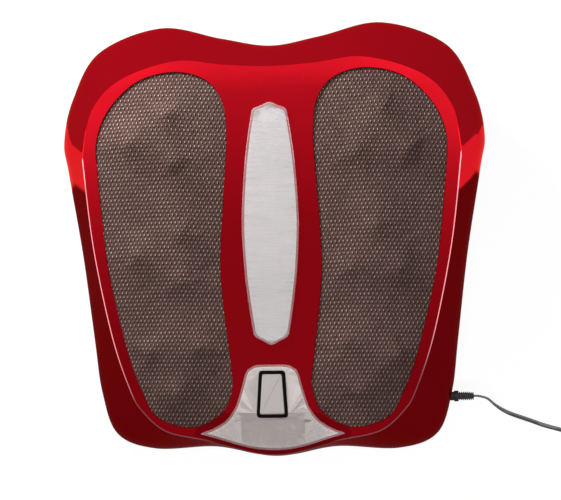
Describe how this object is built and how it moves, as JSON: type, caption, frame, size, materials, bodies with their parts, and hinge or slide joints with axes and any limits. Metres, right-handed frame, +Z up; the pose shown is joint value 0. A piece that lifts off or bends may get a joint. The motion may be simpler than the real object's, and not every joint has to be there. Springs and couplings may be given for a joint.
{
  "type": "heated foot massager",
  "caption": "Low wedge-shaped foot massager with mesh-covered foot wells, rotating knobbed massage heads on worm drives, a power button and a low-voltage lead.",
  "frame": {"origin": "on the floor under the middle of the housing, without the lead", "axes": "+Z up; the user sits on the -Y side with the toes towards +Y; +X to the user's right, the side that the lead leaves"},
  "size_m": [0.6226, 0.411, 0.1085],
  "materials": {
    "red_gloss": "deep red high gloss moulding",
    "base_red": "dark red satin moulding",
    "rubber": "soft black rubber",
    "steel": "plain zinc-plated steel",
    "silver_panel": "silver satin panel",
    "clear_lens": "clear moulded lens",
    "black_gloss": "black gloss",
    "board": "green circuit board",
    "brown_mesh": "open bronze-brown spacer mesh",
    "inner_black": "black inner moulding",
    "knob": "brown satin massage head",
    "gear": "natural acetal gear",
    "brass": "plain brass",
    "cord_grey": "dark grey cord jacket",
    "adapter_black": "black satin adapter housing"
  },
  "bodies": {
    "housing": {"body_shell": "red_gloss", "top_cover": "red_gloss", "base_plate": "base_red", "far_left_foot": "rubber", "far_right_foot": "rubber", "near_left_foot": "rubber", "near_right_foot": "rubber", "base_screw_1": "steel", "base_screw_2": "steel", "base_screw_3": "steel", "base_screw_4": "steel", "base_screw_5": "steel", "base_screw_6": "steel", "spine_inlay": "silver_panel", "spine_lens": "clear_lens", "control_inlay": "silver_panel", "button_bezel": "black_gloss", "control_board": "board", "power_switch": "black_gloss", "left_mesh_cover": "brown_mesh", "right_mesh_cover": "brown_mesh", "left_mesh_frame": "inner_black", "right_mesh_frame": "inner_black", "left_toe_spindle": "steel", "left_arch_spindle": "steel", "left_heel_spindle": "steel", "right_toe_spindle": "steel", "right_arch_spindle": "steel", "right_heel_spindle": "steel", "left_chassis": "inner_black", "right_chassis": "inner_black", "left_shaft_bush": "brass", "right_shaft_bush": "brass", "left_motor": "steel", "right_motor": "steel", "left_infrared_heater": "brass", "right_infrared_heater": "brass", "strain_relief": "cord_grey", "cord_lead": "cord_grey", "cord_coil": "cord_grey", "cord_tail": "cord_grey", "wall_adapter": "adapter_black"},
    "power_button_body": {"power_button": "silver_panel"},
    "left_toe_massager": {"left_toe_head": "knob", "left_toe_wheel": "gear"},
    "left_arch_massager": {"left_arch_head": "knob", "left_arch_wheel": "gear"},
    "left_heel_massager": {"left_heel_head": "knob", "left_heel_wheel": "gear"},
    "right_toe_massager": {"right_toe_head": "knob", "right_toe_wheel": "gear"},
    "right_arch_massager": {"right_arch_head": "knob", "right_arch_wheel": "gear"},
    "right_heel_massager": {"right_heel_head": "knob", "right_heel_wheel": "gear"},
    "left_worm": {"left_worm_shaft": "steel"},
    "right_worm": {"right_worm_shaft": "steel"}
  },
  "joints": [
    {"name": "power_press", "type": "slide", "parent": "housing", "child": "power_button_body", "axis": [0, 0, -1], "range_m": [0, 0.0015], "stiffness_N_per_m": 400, "springref_m": -0.001},
    {"name": "left_toe_spin", "type": "hinge", "parent": "housing", "child": "left_toe_massager", "pos_m": [-0.1065, 0.09, 0.09729], "axis": [0, -0.1103, 0.9939], "continuous": true},
    {"name": "left_arch_spin", "type": "hinge", "parent": "housing", "child": "left_arch_massager", "pos_m": [-0.09786, -0.01994, 0.08509], "axis": [0, -0.1103, 0.9939], "continuous": true},
    {"name": "left_heel_spin", "type": "hinge", "parent": "housing", "child": "left_heel_massager", "pos_m": [-0.09, -0.12, 0.07398], "axis": [0, -0.1103, 0.9939], "continuous": true},
    {"name": "left_worm_spin", "type": "hinge", "parent": "housing", "child": "left_worm", "pos_m": [-0.08696, 0.09462, 0.06953], "axis": [-0.0779, 0.9909, 0.11], "continuous": true},
    {"name": "right_toe_spin", "type": "hinge", "parent": "housing", "child": "right_toe_massager", "pos_m": [0.1065, 0.09, 0.09729], "axis": [0, -0.1103, 0.9939], "continuous": true},
    {"name": "right_arch_spin", "type": "hinge", "parent": "housing", "child": "right_arch_massager", "pos_m": [0.09786, -0.01994, 0.08509], "axis": [0, -0.1103, 0.9939], "continuous": true},
    {"name": "right_heel_spin", "type": "hinge", "parent": "housing", "child": "right_heel_massager", "pos_m": [0.09, -0.12, 0.07398], "axis": [0, -0.1103, 0.9939], "continuous": true},
    {"name": "right_worm_spin", "type": "hinge", "parent": "housing", "child": "right_worm", "pos_m": [0.08696, 0.09462, 0.06953], "axis": [0.0779, 0.9909, 0.11], "continuous": true}
  ],
  "couplings": [
    {"joint": "left_arch_spin", "follows": "left_toe_spin", "ratio": 1},
    {"joint": "left_heel_spin", "follows": "left_toe_spin", "ratio": 1},
    {"joint": "left_worm_spin", "follows": "left_toe_spin", "ratio": 16},
    {"joint": "right_arch_spin", "follows": "right_toe_spin", "ratio": 1},
    {"joint": "right_heel_spin", "follows": "right_toe_spin", "ratio": 1},
    {"joint": "right_worm_spin", "follows": "right_toe_spin", "ratio": 16}
  ]
}
